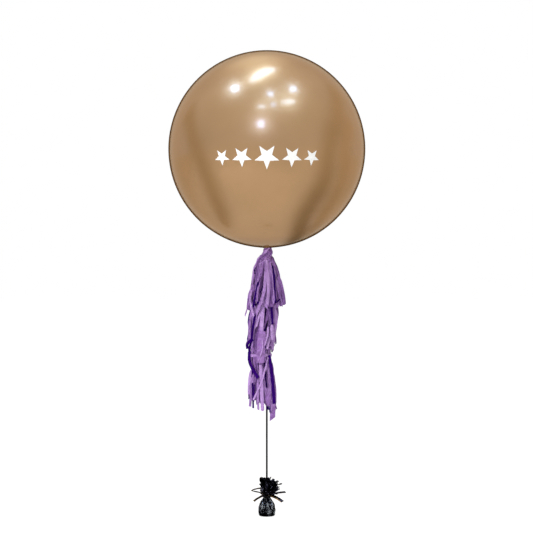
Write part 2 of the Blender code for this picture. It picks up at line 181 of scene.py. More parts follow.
def point_between(places, share, lag=0.0):
    """A point on the line through some places. With a lag, it lingers near each of them."""
    wanted = share * (len(places) - 1)
    i = min(int(wanted), len(places) - 2)
    part = wanted - i
    return places[i].lerp(places[i + 1], lag * ease(part) + (1.0 - lag) * part)


def drift(seed, share, pace):
    """A slow, even wander between about -1 and 1."""
    return 1.6 * noise.noise(Vector((share * pace, seed * 7.31, seed * 2.17)))


def skirt_radius(tassel, height):
    share = (TASSEL_TOPS[tassel] - height) / TASSEL_LENGTHS[tassel]
    return along(TASSEL_OUTLINES[tassel], share) * TASSEL_RADII[tassel]


def skirt_middle(tassel, height):
    share = (TASSEL_TOPS[tassel] - height) / TASSEL_LENGTHS[tassel]
    return along(TASSEL_SWAYS[tassel], share) * TASSEL_RADII[tassel]


# Materials

class Tree:
    """Short words for building a node tree."""

    def __init__(self, tree):
        self.tree = tree

    def node(self, kind, inputs=None, **settings):
        made = self.tree.nodes.new(kind)
        for key, value in settings.items():
            setattr(made, key, value)
        for key, value in (inputs or {}).items():
            if isinstance(value, bpy.types.NodeSocket):
                self.link(value, made.inputs[key])
            else:
                made.inputs[key].default_value = value
        return made

    def link(self, source, target):
        self.tree.links.new(source, target)

    def maths(self, operation, a, b=0.0):
        return self.node("ShaderNodeMath", {0: a, 1: b}, operation=operation).outputs[0]

    def coordinates(self, kind):
        return self.node("ShaderNodeTexCoord").outputs[kind]

    def split(self, vector):
        return self.node("ShaderNodeSeparateXYZ", {"Vector": vector}).outputs

    def vector_maths(self, operation, inputs):
        return self.node("ShaderNodeVectorMath", inputs, operation=operation).outputs[0]

    def times(self, a, b):
        return self.maths("MULTIPLY", a, b)

    def plus(self, a, b):
        return self.maths("ADD", a, b)

    def remap(self, value, low, high, new_low=0.0, new_high=1.0, **settings):
        """Turns the span from low to high into the span from new_low to new_high, and holds its ends."""
        inputs = {"Value": value, 1: low, 2: high, 3: new_low, 4: new_high}
        return self.node("ShaderNodeMapRange", inputs, **settings).outputs[0]

    def ramp(self, value, *stops):
        made = self.node("ShaderNodeValToRGB", {"Fac": value})
        elements = made.color_ramp.elements
        while len(elements) < len(stops):
            elements.new(0.5)
        for element, (place, colour) in zip(elements, stops):
            element.position = place
            element.color = (*colour, 1.0)
        return made.outputs["Color"]

    def mix(self, share, a, b, blend="MIX"):
        made = self.tree.nodes.new("ShaderNodeMix")
        made.data_type = "RGBA"
        made.blend_type = blend
        for key, value in ((0, share), (6, a), (7, b)):
            if isinstance(value, bpy.types.NodeSocket):
                self.link(value, made.inputs[key])
            else:
                made.inputs[key].default_value = value if key == 0 else (*value, 1.0)
        return made.outputs[2]


def new_group(name, inputs, outputs):
    group = bpy.data.node_groups.new(name, "ShaderNodeTree")
    for label, kind, value in inputs:
        socket = group.interface.new_socket(label, in_out="INPUT", socket_type=kind)
        if value is not None:
            socket.default_value = value
    for label, kind in outputs:
        group.interface.new_socket(label, in_out="OUTPUT", socket_type=kind)
    tree = Tree(group)
    return group, tree, tree.node("NodeGroupInput").outputs, tree.node("NodeGroupOutput").inputs


def make_crease_group():
    """Sharp folds and soft puckers, as a height and a mask that is 1 along the folds."""
    group, tree, given, out = new_group(
        "creases",
        (("Vector", "NodeSocketVector", None), ("Size", "NodeSocketFloat", 100.0),
         ("Wander", "NodeSocketFloat", 0.5)),
        (("Height", "NodeSocketFloat"), ("Mask", "NodeSocketFloat")),
    )
    bend = tree.node("ShaderNodeTexNoise", {"Vector": given["Vector"], "Scale": 6.0, "Detail": 2.0})
    offset = tree.vector_maths("SUBTRACT", {0: bend.outputs["Color"], 1: (0.5, 0.5, 0.5)})
    pushed = tree.vector_maths("SCALE", {0: offset, "Scale": given["Wander"]})
    place = tree.vector_maths("ADD", {0: given["Vector"], 1: pushed})
    large = tree.node(
        "ShaderNodeTexVoronoi", {"Vector": place, "Scale": given["Size"]},
        feature="DISTANCE_TO_EDGE").outputs["Distance"]
    small = tree.node(
        "ShaderNodeTexVoronoi", {"Vector": place, "Scale": tree.times(given["Size"], 2.7)},
        feature="DISTANCE_TO_EDGE").outputs["Distance"]
    size = tree.times(given["Size"], 1.5)
    fine = tree.node("ShaderNodeTexNoise", {"Vector": place, "Scale": size, "Detail": 6.0}).outputs["Fac"]
    facets = tree.plus(tree.times(large, 1.5), tree.times(small, 0.6))
    tree.link(tree.plus(facets, tree.times(fine, 0.5)), out["Height"])
    tree.link(tree.remap(large, 0.0, 0.12, 1.0, 0.0), out["Mask"])
    return group


def make_mottle_group():
    """Slow cloudy variation, as one value around a half."""
    group, tree, given, out = new_group(
        "mottle",
        (("Vector", "NodeSocketVector", None), ("Size", "NodeSocketFloat", 8.0)),
        (("Value", "NodeSocketFloat"),),
    )
    clouds = tree.node("ShaderNodeTexNoise", {
        "Vector": given["Vector"], "Scale": given["Size"], "Detail": 3.0, "Roughness": 0.55})
    tree.link(clouds.outputs["Fac"], out["Value"])
    return group


def new_material(name, colour, roughness, metallic=0.0, **sockets):
    material = bpy.data.materials.new(name)
    material.use_nodes = True
    shader = material.node_tree.nodes["Principled BSDF"]
    shader.inputs["Base Color"].default_value = (*colour, 1.0)
    shader.inputs["Roughness"].default_value = roughness
    shader.inputs["Metallic"].default_value = metallic
    for label, value in sockets.items():
        shader.inputs[label.replace("_", " ").title().replace("Ior", "IOR")].default_value = value
    return material, Tree(material.node_tree), shader


def use_group(tree, group, vector, **values):
    placed = tree.node("ShaderNodeGroup", node_tree=group)
    tree.link(vector, placed.inputs["Vector"])
    for label, value in values.items():
        placed.inputs[label].default_value = value
    return placed


def bump(tree, shader, height, strength, distance):
    made = tree.node("ShaderNodeBump", {"Height": height, "Strength": strength, "Distance": distance})
    tree.link(made.outputs["Normal"], shader.inputs["Normal"])


def make_balloon_skin():
    """Pearly gold-bronze film, denser in colour towards the neck where it is stretched least."""
    material, tree, shader = new_material(
        "balloon_skin", (0.44, 0.265, 0.135), 0.33, 1.0, specular_tint=(0.55, 0.38, 0.24, 1.0),
        coat_weight=1.0, coat_roughness=0.16)
    place = tree.coordinates("Object")
    height = tree.split(place)["Z"]
    clouds = use_group(tree, MOTTLE, place, Size=5.0).outputs["Value"]
    thin = tree.remap(height, BALLOON_BOTTOM - 0.004, BALLOON_BOTTOM + 0.035)
    skin = tree.ramp(clouds, (0.35, (0.395, 0.231, 0.104)), (0.65, (0.440, 0.258, 0.119)))
    tree.link(tree.mix(thin, (0.26, 0.145, 0.065), skin), shader.inputs["Base Color"])
    grain = tree.node("ShaderNodeTexNoise", {"Vector": place, "Scale": 420.0, "Detail": 2.0})
    swell = tree.node("ShaderNodeTexNoise", {"Vector": place, "Scale": 7.0, "Detail": 1.0})
    relief = tree.plus(tree.times(grain.outputs["Fac"], 0.02), swell.outputs["Fac"])
    bump(tree, shader, relief, 0.12, 0.004)
    return material


def make_film():
    """Cut white film, very faintly pebbled."""
    material, tree, shader = new_material("white_film", (0.93, 0.93, 0.94), 0.42, coat_weight=0.1)
    place = tree.coordinates("Object")
    clouds = use_group(tree, MOTTLE, place, Size=60.0).outputs["Value"]
    shade = tree.ramp(clouds, (0.3, (0.90, 0.90, 0.91)), (0.7, (0.96, 0.96, 0.96)))
    tree.link(shade, shader.inputs["Base Color"])
    grain = tree.node("ShaderNodeTexNoise", {"Vector": place, "Scale": 900.0, "Detail": 2.0})
    bump(tree, shader, grain.outputs["Fac"], 0.15, 0.0002)
    return material


def make_tissue(name, deep, middle, light, gloss, fading):
    """Tissue paper: each strip has its own tone and fading, and is creased along and puckered across. Its
    colours run from a shaded one to a highlight one, so the tone paints part of each strip's light and shade
    as well as its own colour.
    """
    material, tree, shader = new_material(name, middle, 0.80, specular_ior_level=gloss)
    tone = tree.node("ShaderNodeAttribute", attribute_name="tone").outputs["Fac"]
    flat = tree.coordinates("UV")
    offset = tree.node("ShaderNodeCombineXYZ", {"X": tree.times(tone, 37.0), "Z": tone})
    moved = tree.vector_maths("ADD", {0: flat, 1: offset.outputs[0]})
    long_way = tree.node("ShaderNodeMapping", {"Vector": moved, "Scale": (1.6, 2.2, 1.0)}).outputs[0]
    folds = use_group(tree, CREASES, long_way, Size=1.5, Wander=0.35)
    place = tree.coordinates("Object")
    fibres = use_group(tree, MOTTLE, place, Size=55.0).outputs["Value"]
    lined = tree.node("ShaderNodeMapping", {"Vector": moved, "Scale": (3.2, 0.7, 1.0)}).outputs[0]
    lines = use_group(tree, MOTTLE, lined, Size=1.6).outputs["Value"]
    cloudy = tree.plus(tree.times(fibres, 0.30), tree.times(lines, 0.62))
    shade = tree.plus(tree.times(tone, 0.80), tree.maths("SUBTRACT", cloudy, 0.31))
    # The ramp runs from a shaded colour through the paper's middle colour to a highlight colour: painted
    # shade and painted highlight.
    colour = tree.ramp(shade, (0.12, deep), (0.52, middle), (0.92, light))
    own_share = tree.times(tree.maths("FRACT", tree.times(tone, 7.31)), fading)
    grey = tree.ramp(shade, (0.12, (0.10, 0.085, 0.12)), (0.92, (0.52, 0.46, 0.56)))
    worn = tree.mix(tree.times(folds.outputs["Mask"], 0.22), tree.mix(own_share, colour, grey), light)
    tree.link(worn, shader.inputs["Base Color"])
    bump(tree, shader, folds.outputs["Height"], 0.8, 0.0020)
    return material


def make_foil(name, colour, light, glints, roughness):
    """Thin metallised film crushed by hand, with painted glints: long streaks of lighter base colour between
    darker ones, that stand in for dents catching the light.
    """
    material, tree, shader = new_material(name, colour, roughness, 1.0)
    place = tree.coordinates("Object")
    tall = tree.node("ShaderNodeMapping", {"Vector": place, "Scale": (1.0, 1.0, 0.42)}).outputs[0]
    folds = use_group(tree, CREASES, tall, Size=110.0, Wander=0.012)
    painted_glint_mask = use_group(tree, MOTTLE, tall, Size=105.0).outputs["Value"]
    # Painted glints: the base colour turns to the light colour in long streaks.
    tint = tree.ramp(painted_glint_mask, (glints - 0.07, colour), (glints + 0.07, light))
    tree.link(tint, shader.inputs["Base Color"])
    tree.link(tree.remap(painted_glint_mask, 0.3, 0.7, roughness * 0.7, roughness * 1.5), shader.inputs["Roughness"])
    bump(tree, shader, folds.outputs["Height"], 0.7, 0.0020)
    return material


def make_ribbon_satin():
    """Black satin ribbon with a fine weave across it."""
    material, tree, shader = new_material("ribbon_satin", (0.004, 0.004, 0.004), 0.45, specular_ior_level=0.1)
    flat = tree.coordinates("UV")
    waves = tree.node(
        "ShaderNodeTexWave", {"Vector": flat, "Scale": 90.0, "Distortion": 0.4}, bands_direction="Y")
    ribs = waves.outputs["Fac"]
    shade = tree.ramp(ribs, (0.2, (0.002, 0.002, 0.002)), (0.8, (0.007, 0.007, 0.008)))
    tree.link(shade, shader.inputs["Base Color"])
    bump(tree, shader, ribs, 0.3, 0.0001)
    return material


CREASES = make_crease_group()
MOTTLE = make_mottle_group()
BALLOON_SKIN = make_balloon_skin()
WHITE_FILM = make_film()
# Each tissue's colours are a shaded one, the paper's middle one and a highlight one: painted shade and
# painted highlight.
LILAC = make_tissue(
    "lilac_tissue", (0.135, 0.050, 0.255), (0.320, 0.137, 0.500), (0.650, 0.390, 0.890),
    gloss=0.10, fading=0.22)
INDIGO = make_tissue(
    "indigo_tissue", (0.009, 0.000, 0.045), (0.026, 0.000, 0.145), (0.055, 0.004, 0.230),
    gloss=0.03, fading=0.0)
# The sack and the frill are one foil. The frill's copy has dimmer, bluer painted glints, as painted shade on
# the frill, and the bronze backs get painted glints too.
SACK_FOIL = make_foil("sack_foil", (0.004, 0.005, 0.008), (0.335, 0.375, 0.440), 0.56, 0.18)
FRILL_FOIL = make_foil("frill_foil", (0.004, 0.004, 0.006), (0.140, 0.142, 0.230), 0.56, 0.20)
BRONZE_FOIL = make_foil("bronze_foil", (0.160, 0.095, 0.035), (0.460, 0.300, 0.140), 0.50, 0.28)
RIBBON_SATIN = make_ribbon_satin()


# Camera and light

def place_camera():
    """At the middle of the picture's height, looking level at the part from the front."""
    view = bpy.data.cameras.new("camera")
    view.lens = 100.0
    view.sensor_width = 36.0
    camera = bpy.data.objects.new("camera", view)
    camera.location = (-0.0010, -4.594, 0.773)
    camera.rotation_euler = (math.radians(90), 0.0, 0.0)
    bpy.context.scene.collection.objects.link(camera)
    bpy.context.scene.camera = camera


def add_lamp(name, location, size, brightness, colour, length=None, turn=0.0):
    """A lamp that the balloon mirrors as a soft spot, and that lights nothing. Its brightness is its face's.

    Without a length it is drawn out towards the camera, just so far that the ball mirrors it round.
    """
    inward = (Vector((0.0, 0.0, BALLOON_CENTRE)) - Vector(location)).normalized()
    aim = inward.to_track_quat("-Z", "Y").to_matrix()
    if length is None:
        length = size / math.cos(math.acos(inward.y) / 2) ** 2
        towards_camera = aim.transposed() @ Vector((0.0, -1.0, 0.0))
        turn = math.atan2(towards_camera.y, towards_camera.x)
    light = bpy.data.lights.new(name, "AREA")
    light.shape = "ELLIPSE"
    light.size = length
    light.size_y = size
    light.color = colour
    area = math.pi * length * size / 4
    light.energy = brightness * math.pi * area
    lamp = bpy.data.objects.new(name, light)
    lamp.location = location
    lamp.rotation_euler = (aim @ Matrix.Rotation(turn, 3, "Z")).to_euler()
    lamp.visible_camera = False
    lamp.visible_diffuse = False
    bpy.context.scene.collection.objects.link(lamp)
    return lamp


# Light that the gold film mirrors as white, and as pale yellow
COOL = (0.30, 0.54, 1.00)
MELLOW = (0.42, 0.66, 1.00)

# The warmer light that comes from behind the balloon, and the tint of the soft dark bands
WORLD_BEHIND = (0.83, 0.71, 0.52)
FLOOR_NEAR = (1.0, 0.965, 0.88)
FLOOR_BEHIND = (0.81, 0.67, 0.45)
CURTAIN_TINT = (1.0, 0.87, 0.66)
SLAT_TINT = (1.0, 0.96, 0.88)


def light_the_studio():
    add_lamp("lamp_left", (-1.299, -0.613, 3.571), 0.31, 32.0, COOL)
    add_lamp("lamp_top", (-0.214, -0.118, 4.024), 0.52, 11.5, MELLOW, length=1.50, turn=math.radians(110))
    add_lamp("lamp_right", (1.097, -0.846, 3.610), 0.27, 27.0, COOL)
    add_lamp("lamp_small", (0.161, -1.504, 3.560), 0.25, 28.0, COOL)
    add_lamp("lamp_warm", (1.007, -1.658, 3.242), 0.28, 16.0, MELLOW, length=0.7)
    add_lamp("lamp_dim_left", (-0.246, -2.102, 3.085), 0.22, 17.0, MELLOW, length=0.40)
    add_lamp("lamp_dim_right", (0.317, -2.004, 3.172), 0.23, 18.0, COOL)
    add_lamp("lamp_front", (-0.314, -2.648, 2.263), 0.36, 32.0, (0.34, 0.52, 1.0))
    key = add_lamp("lamp_key", (-1.9, -2.7, 1.7), 0.40, 92.0, (1.0, 1.0, 1.0))
    key.rotation_euler = (Vector((0.0, 0.0, 0.6)) - key.location).to_track_quat("-Z", "Y").to_euler()
    key.visible_glossy = False
    key.visible_diffuse = True
    world = bpy.data.worlds.new("studio")
    bpy.context.scene.world = world
    world.use_nodes = True
    tree = Tree(world.node_tree)
    rays = tree.node("ShaderNodeLightPath").outputs
    way = tree.split(tree.coordinates("Generated"))
    sky = tree.ramp(
        way["Z"], (0.05, (0.86, 0.86, 0.87)), (0.45, (0.96, 0.94, 0.90)), (0.95, (1.0, 0.96, 0.90)))
    room = tree.mix(tree.remap(way["Y"], 0.30, 0.95), sky, WORLD_BEHIND)
    soft = tree.mix(rays["Is Diffuse Ray"], room, (0.60, 0.60, 0.60))
    background = world.node_tree.nodes["Background"]
    tree.link(tree.mix(rays["Is Camera Ray"], soft, (1.0, 1.0, 1.0)), background.inputs["Color"])
    background.inputs["Strength"].default_value = 1.0
    bpy.context.scene.view_settings.view_transform = "Standard"


def lay_floor():
    """A pale floor that runs out of sight, and glows so that only close shade shows on it."""
    deselect_all()
    bpy.ops.mesh.primitive_plane_add(size=60.0, location=(0.0, 0.0, 0.0))
    floor = settle(bpy.context.object, "floor")
    material, tree, shader = new_material("pale_floor", (0.45, 0.45, 0.45), 0.9, specular_ior_level=0.0)
    clouds = use_group(tree, MOTTLE, tree.coordinates("Object"), Size=1.5).outputs["Value"]
    tone = tree.ramp(clouds, (0.3, (0.44, 0.44, 0.44)), (0.7, (0.46, 0.46, 0.46)))
    tree.link(tone, shader.inputs["Base Color"])
    seen = tree.node("ShaderNodeLightPath").outputs["Is Camera Ray"]
    far = tree.split(tree.coordinates("Object"))["Y"]
    warm = tree.mix(tree.remap(far, -0.1, 1.3), FLOOR_NEAR, FLOOR_BEHIND)
    tree.link(tree.mix(seen, warm, (1.0, 1.0, 1.0)), shader.inputs["Emission Color"])
    tree.link(tree.remap(seen, 0.0, 1.0, 0.70, 0.80), shader.inputs["Emission Strength"])
    floor.data.materials.append(material)


def new_card_finish(name, colour, brightness):
    """A screen that gives off light of its own and is lit by nothing."""
    material, tree, shader = new_material(name, (0.0, 0.0, 0.0), 1.0, specular_ior_level=0.0)
    shader.inputs["Emission Color"].default_value = (*colour, 1.0)
    shader.inputs["Emission Strength"].default_value = brightness
    return material, tree, shader


def make_curtain_finish(name, dark, bright):
    """From dark to bright along the curtain, and fading out towards its edges."""
    material, tree, shader = new_card_finish(name, CURTAIN_TINT, bright)
    flat = tree.split(tree.coordinates("UV"))
    tree.link(tree.remap(flat["Y"], 0.0, 1.0, dark, bright), shader.inputs["Emission Strength"])
    off = tree.maths("ABSOLUTE", tree.maths("SUBTRACT", flat["X"], 0.5))
    tree.link(tree.remap(off, 0.5, 0.05, interpolation_type="SMOOTHSTEP"), shader.inputs["Alpha"])
    return material


def make_ranged_finish(name, brightness, comparison, distance):
    """Mirrored only by what stands nearer than a distance, or only by what stands farther away."""
    material, tree, shader = new_card_finish(name, SLAT_TINT, brightness)
    far = tree.node("ShaderNodeLightPath").outputs["Ray Length"]
    tree.link(tree.maths(comparison, far, distance), shader.inputs["Alpha"])
    return material


def stand_glow(name, location, size, colour, brightness):
    """A round card that fades out from its middle and faces the balloon."""
    deselect_all()
    aim = (Vector((0.0, 0.0, BALLOON_CENTRE)) - Vector(location)).to_track_quat("Z", "Y").to_euler()
    bpy.ops.mesh.primitive_circle_add(
        vertices=48, radius=size / 2, fill_type="NGON", location=location, rotation=aim)
    material, tree, shader = new_card_finish(name, colour, brightness)
    flat = tree.coordinates("UV")
    away = tree.node(
        "ShaderNodeVectorMath", {0: flat, 1: (0.5, 0.5, 0.0)}, operation="DISTANCE").outputs["Value"]
    tree.link(tree.remap(away, 0.5, 0.0, interpolation_type="SMOOTHSTEP"), shader.inputs["Alpha"])
    stand_card(bpy.context.object, name, material)


def stand_card(card, name, material):
    """Puts a screen on the stage. It shows in reflections alone."""
    settle(card, name)
    card.data.materials.clear()
    card.data.materials.append(material)
    card.visible_camera = False
    card.visible_diffuse = False
    card.visible_shadow = False


def stand_curtain(name, rows, dark, bright):
    """A soft-edged screen beside the balloon that runs over the floor. Each row is a point and a width."""
    pattern = strip_pattern(12, 40, SQUARE_END)
    places = [Vector(place) for place, width in rows]
    widths = [(i / (len(rows) - 1), width) for i, (place, width) in enumerate(rows)]
    centre = Vector((0.0, 0.0, BALLOON_CENTRE))

    def line(share):
        point = point_between(places, share)
        facing = Vector((0.0, 0.0, 1.0)).lerp((centre - point).normalized(), ease(point.z / 0.4))
        return point, facing.normalized()

    card = lay_strip(pattern, line, lambda share: along(widths, share), 0.0, 0.0, 0.0, 0.0)
    bpy.data.objects.remove(pattern)
    stand_card(card, name, make_curtain_finish(name, dark, bright))


def stand_back_ring():
    """A dark ring that the balloon's edges mirror as a thin dark rim. Its back is too near to mirror it."""
    deselect_all()
    behind = 1.0
    bpy.ops.mesh.primitive_circle_add(
        vertices=48, radius=0.80, fill_type="NGON", location=(0.0, behind, BALLOON_CENTRE + 0.08),
        rotation=(math.radians(90), 0.0, 0.0))
    ring = bpy.context.object
    bpy.ops.object.mode_set(mode="EDIT")
    bpy.ops.mesh.select_all(action="SELECT")
    bpy.ops.mesh.inset(thickness=0.50)
    bpy.ops.mesh.delete(type="FACE")
    bpy.ops.object.mode_set(mode="OBJECT")
    stand_card(ring, "back_ring", make_ranged_finish("back_ring", 0.0, "GREATER_THAN", behind))


def stand_foil_screen():
    """Upright slats and a mat close round the weight, so that its folds mirror dark and bright by turns."""
    radius = 0.12
    reach = 0.30
    start, spacing = -18, 60
    for name, kept, brightness, height in (
            ("dark_slats", (14, 60), 0.0, 0.26), ("bright_slats", (3, 9), 5.0, 0.16)):
        deselect_all()
        bpy.ops.mesh.primitive_cylinder_add(
            vertices=120, radius=radius, depth=height, end_fill_type="NOTHING",
            location=(0.0, 0.0, height / 2 + 0.003))
        screen = bpy.context.object
        bpy.ops.object.mode_set(mode="EDIT")
        mesh = bmesh.from_edit_mesh(screen.data)
        bpy.ops.mesh.select_all(action="DESELECT")
        for face in mesh.faces:
            middle = face.calc_center_median()
            turn = (math.degrees(math.atan2(middle.y, middle.x)) - start) % spacing
            face.select_set(not kept[0] <= turn < kept[1])
        bmesh.update_edit_mesh(screen.data)
        bpy.ops.mesh.delete(type="FACE")
        bpy.ops.object.mode_set(mode="OBJECT")
        stand_card(screen, name, make_ranged_finish(name, brightness, "LESS_THAN", reach))
    deselect_all()
    bpy.ops.mesh.primitive_circle_add(
        vertices=40, radius=radius, fill_type="NGON", location=(0.0, 0.0, 0.0015))
    stand_card(bpy.context.object, "dark_mat", make_ranged_finish("dark_mat", 0.05, "LESS_THAN", reach))


# Soft dark screens beside and behind the balloon, as points and widths in metres
RIGHT_CURTAIN = (
    ((0.34, 1.90, 0.012), 0.45), ((0.40, 1.10, 0.012), 0.48), ((0.50, 0.34, 0.012), 0.56),
    ((0.70, -0.05, 0.012), 0.90), ((1.10, -0.27, 0.012), 1.20), ((1.90, -0.44, 0.06), 1.60),
    ((2.28, -0.74, 0.46), 1.70), ((2.38, -0.80, 1.05), 1.60), ((2.40, -0.61, 1.65), 1.60),
    ((2.29, 0.06, 2.13), 1.45), ((1.97, 0.77, 2.60), 1.25), ((1.65, 1.40, 2.75), 1.00),
)
RIGHT_SHADE = (
    ((0.55, 1.90, 0.006), 0.60), ((0.75, 0.95, 0.006), 0.90), ((1.16, 0.62, 0.006), 1.15),
    ((1.82, 0.66, 0.006), 1.50), ((2.65, 0.70, 0.15), 1.70), ((2.70, 0.45, 0.68), 1.70),
    ((2.72, 0.30, 1.14), 1.70), ((2.60, 0.45, 1.63), 1.50), ((2.25, 1.15, 1.97), 1.20),
)
LEFT_CURTAIN = (
    ((-0.62, 0.60, 0.01), 0.24), ((-0.72, 0.32, 0.01), 0.60), ((-0.91, 0.05, 0.01), 0.88),
    ((-1.27, -0.20, 0.01), 1.18), ((-1.94, -0.48, 0.06), 1.55), ((-2.48, -0.54, 0.50), 1.60),
    ((-2.60, -0.36, 1.08), 1.50), ((-2.50, 0.07, 1.60), 1.30), ((-2.38, 0.48, 2.03), 1.21),
    ((-2.05, 1.04, 2.25), 1.15),
)


def set_up_cards():
    stand_curtain("right_curtain", RIGHT_CURTAIN, 0.18, 0.85)
    stand_curtain("right_shade", RIGHT_SHADE, 0.62, 0.80)
    stand_curtain("left_curtain", LEFT_CURTAIN, 0.48, 0.68)
    stand_glow("top_glow", (-0.30, 1.15, 3.65), 2.40, (0.84, 0.88, 0.78), 2.0)
    stand_back_ring()
    stand_foil_screen()


# Strips of tissue, ribbon and foil

def strip_pattern(columns, rows, cuts):
    """One flat strip, a unit wide and a unit long, with its far end cut by straight lines."""
    deselect_all()
    bpy.ops.mesh.primitive_grid_add(x_subdivisions=columns, y_subdivisions=rows, size=1.0, location=(0, 0, 0))
    pattern = bpy.context.object
    bpy.ops.object.mode_set(mode="EDIT")
    for reach, slant in cuts:
        bpy.ops.mesh.select_all(action="SELECT")
        bpy.ops.mesh.bisect(plane_co=(0.0, 0.5 - reach, 0.0), plane_no=(slant, 1.0, 0.0), clear_outer=True)
    bpy.ops.object.mode_set(mode="OBJECT")
    pattern.name = "strip_pattern"
    return pattern


def steady(value):
    return lambda share: value


def lay_strip(pattern, line, width, roll, fold, tone, pucker=0.0006, seed=0.0):
    """A copy of the pattern, laid along a line.

    line(share) gives a point and the way that the strip faces. width, roll and fold say how wide it is, how
    far it is turned about the line and how deep its middle is folded in. Each is a number or a function.
    """
    width, roll, fold = (given if callable(given) else steady(given) for given in (width, roll, fold))
    strip = copy_piece(pattern)
    step = 0.004
    tones = strip.data.attributes.new("tone", "FLOAT", "POINT")
    for vertex in strip.data.vertices:
        across, share = vertex.co.x, vertex.co.y + 0.5
        middle, facing = line(share)
        before, after = line(max(0.0, share - step))[0], line(min(1.0, share + step))[0]
        forward = (after - before).normalized()
        sideways = forward.cross(facing).normalized()
        sideways = Matrix.Rotation(roll(share), 3, forward) @ sideways
        normal = sideways.cross(forward)
        wave = noise.noise(Vector((across * 1.8 + seed * 3.7, share * 9.0, seed * 5.3)))
        lift = fold(share) * (0.5 - 2.0 * abs(across)) + pucker * 2.0 * wave
        vertex.co = middle + sideways * across * width(share) + normal * lift
        tones.data[vertex.index].value = tone + 0.10 * wave
    return strip


def join_strips(strips, name, thickness, degrees=35):
    piece = join_pieces(strips, name)
    thicken(piece, thickness)
    smooth(piece, degrees)
    return piece


def make_single_strip(name, grid, cuts, thickness, degrees, *laid):
    """A piece that is one strip, laid as said."""
    pattern = strip_pattern(*grid, cuts)
    piece = join_strips([lay_strip(pattern, *laid)], name, thickness, degrees)
    bpy.data.objects.remove(pattern)
    return piece


# How a strip's far end is cut: how far back, and how slanted, each as a share of its length
SQUARE_END = ()
SLANTED_END = ((0.035, 0.07),)
ROUND_END = ((0.010, 0.045), (0.010, -0.045), (0.022, 0.14), (0.022, -0.14))
POINTED_END = ((0.035, 0.18), (0.025, -0.12))
NOTCHED_END = ((0.012, -0.03),)


# Ribbon

def make_ribbon():
    """The flat ribbon that runs from the weight's neck up through the tassels to the balloon's neck."""

    def line(share):
        return Vector((0.0, 0.0, RIBBON_BOTTOM + RIBBON_LENGTH * share)), Vector((0.0, -1.0, 0.0))

    def turn(share):
        return math.radians(7) * math.sin(5.0 * share) + math.radians(4) * drift(3.0, share, 7.0)

    ribbon = make_single_strip(
        "ribbon_flat", (2, 90), SQUARE_END, DOUBLED_THICKNESS, 35,
        line, RIBBON_SHOWN_WIDTH, turn, 0.0004, 0.5, 0.0001)
    dress(ribbon, RIBBON_SATIN, "ribbon_black", "ribbon")


# Balloon

def make_balloon():
    """A smooth ball whose bottom is drawn down into a tied neck with a rolled lip."""
    deselect_all()
    bpy.ops.mesh.primitive_uv_sphere_add(
        segments=160, ring_count=96, radius=BALLOON_RADIUS, location=(0.0, 0.0, BALLOON_CENTRE))
    ball = settle(bpy.context.object, "balloon_film")
    bpy.ops.object.mode_set(mode="EDIT")
    mesh = bmesh.from_edit_mesh(ball.data)
    cut = BALLOON_CENTRE - math.sqrt(BALLOON_RADIUS ** 2 - SHOULDER_RADIUS ** 2)
    bpy.ops.mesh.select_all(action="DESELECT")
    for vertex in mesh.verts:
        vertex.select_set(vertex.co.z < cut)
    bmesh.update_edit_mesh(ball.data)
    bpy.ops.mesh.delete(type="VERT")
    bpy.ops.mesh.select_all(action="DESELECT")
    mesh = bmesh.from_edit_mesh(ball.data)
    for edge in mesh.edges:
        edge.select_set(edge.is_boundary)
    rim = [vertex for vertex in mesh.verts if vertex.is_boundary]
    radius, height = math.hypot(rim[0].co.x, rim[0].co.y), rim[0].co.z
    bmesh.update_edit_mesh(ball.data)
    bottom = BALLOON_BOTTOM
    rings = (
        (0.020, bottom + 0.0004), (0.0125, bottom - 0.0002), (0.0085, bottom - 0.0016),
        (NECK_RADIUS * 1.2, bottom - NECK_LENGTH * 0.16), (NECK_RADIUS, bottom - NECK_LENGTH * 0.30),
        (NECK_RADIUS * 1.05, bottom - NECK_LENGTH * 0.38), (KNOT_RADIUS * 0.78, bottom - NECK_LENGTH * 0.46),
        (KNOT_RADIUS * 0.82, bottom - NECK_LENGTH * 0.55), (KNOT_RADIUS * 0.79, bottom - NECK_LENGTH * 0.66),
        (NECK_RADIUS * 1.1, bottom - NECK_LENGTH * 0.76), (NECK_RADIUS, bottom - NECK_LENGTH * 0.82),
        (LIP_RADIUS * 0.9, bottom - NECK_LENGTH * 0.93), (LIP_RADIUS, bottom - NECK_LENGTH * 0.97),
        (LIP_RADIUS * 0.9, bottom - NECK_LENGTH), (LIP_RADIUS * 0.4, bottom - NECK_LENGTH),
    )
    extrude_rings(rings, radius, height)
    bpy.ops.mesh.edge_face_add()
    bpy.ops.object.mode_set(mode="OBJECT")
    face_outwards(ball)
    smooth(ball, 60)
    dress(ball, BALLOON_SKIN, "balloon_gold", "balloon")


def dress_stars():
    """The stars stay the part's own solids, in white film."""
    for number in range(1, 6):
        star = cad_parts[f"film_star_{number}"]
        star.data.materials.clear()
        star.data.materials.append(WHITE_FILM)


# Tassels

# How much narrower than the solid each head is gathered, and how far it leans to the right
HEAD_PINCH = (0.62, 0.90, 0.90)
HEAD_SHIFT = (0.0035, 0.0, 0.0)


